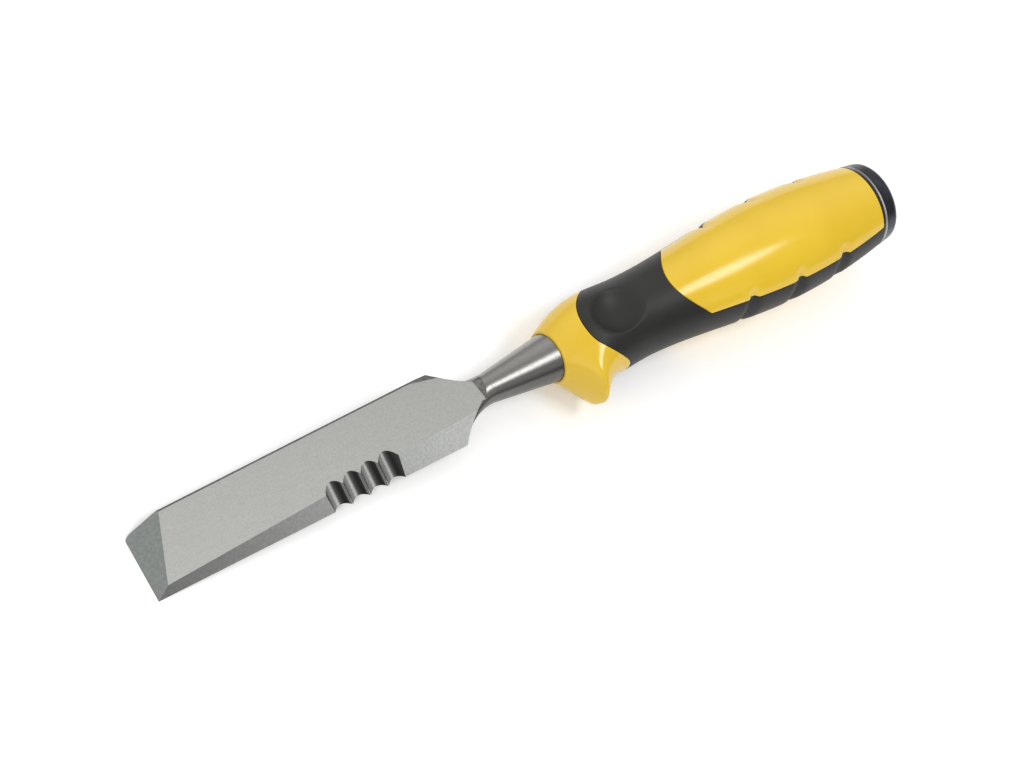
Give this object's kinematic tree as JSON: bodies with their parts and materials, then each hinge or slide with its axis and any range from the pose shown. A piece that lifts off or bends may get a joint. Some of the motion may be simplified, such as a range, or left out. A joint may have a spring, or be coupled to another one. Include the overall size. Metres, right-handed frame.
{
  "type": "side-cutting bench chisel",
  "caption": "Wood chisel with a flat steel blade, bevelled end, serrated side edge and conical neck, a plastic handle with finger guard and soft grip, and a steel strike cap.",
  "frame": {"origin": "where the tang axis meets the flat strike face at the rear of the cap", "axes": "+X along the tang from the strike face to the cutting end, +Y towards the serrated side edge and the finger guard, +Z towards the ground face of the blade"},
  "size_m": [0.307, 0.0388, 0.0368],
  "materials": {
    "ground_steel": "satin ground steel",
    "yellow_plastic": "glossy moulded yellow plastic",
    "black_rubber": "matte black soft grip",
    "dark_steel": "dark heat-treated steel"
  },
  "bodies": {
    "root": {"blade": "ground_steel", "handle_core": "yellow_plastic", "rubber_grip": "black_rubber", "strike_cap": "dark_steel"}
  },
  "joints": []
}
